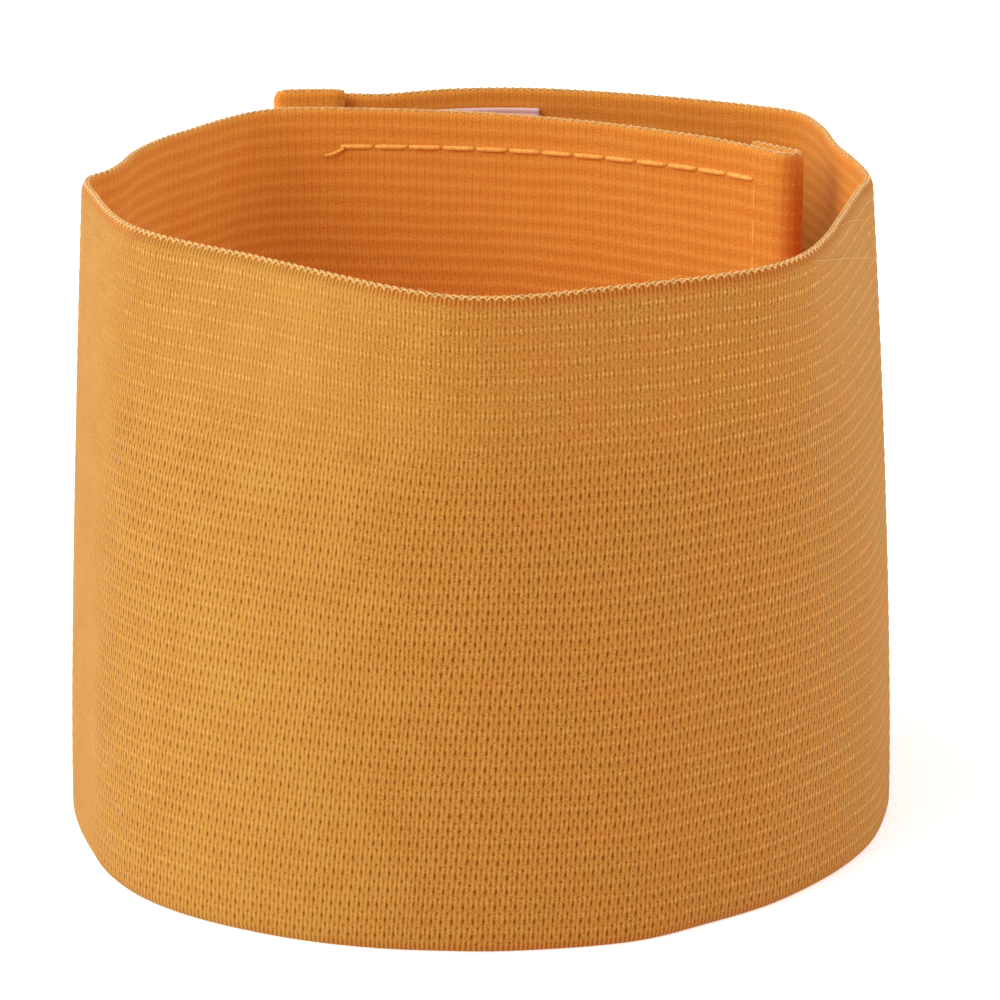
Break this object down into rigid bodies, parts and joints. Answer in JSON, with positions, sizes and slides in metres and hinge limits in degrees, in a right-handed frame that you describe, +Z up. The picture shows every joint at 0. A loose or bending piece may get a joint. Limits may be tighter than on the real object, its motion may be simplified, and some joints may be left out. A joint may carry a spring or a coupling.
{
  "type": "captain armband",
  "caption": "Wide plain elastic armband closed into a ring by hook and loop ends, standing on its lower edge; worn round the upper arm.",
  "frame": {"origin": "middle of the footprint of the standing ring, on the surface that its lower edge rests on", "axes": "+Z up along the strap's width, -Y towards the smooth front of the ring, +Y towards the closure"},
  "size_m": [0.092, 0.0948, 0.0713],
  "materials": {
    "elastic": "knitted elastic, matt",
    "hook_tape": "hook tape, matt",
    "loop_tape": "brushed loop tape, matt"
  },
  "bodies": {
    "root": {"elastic_strap": "elastic", "hook_pad": "hook_tape", "loop_pad": "loop_tape"}
  },
  "joints": []
}
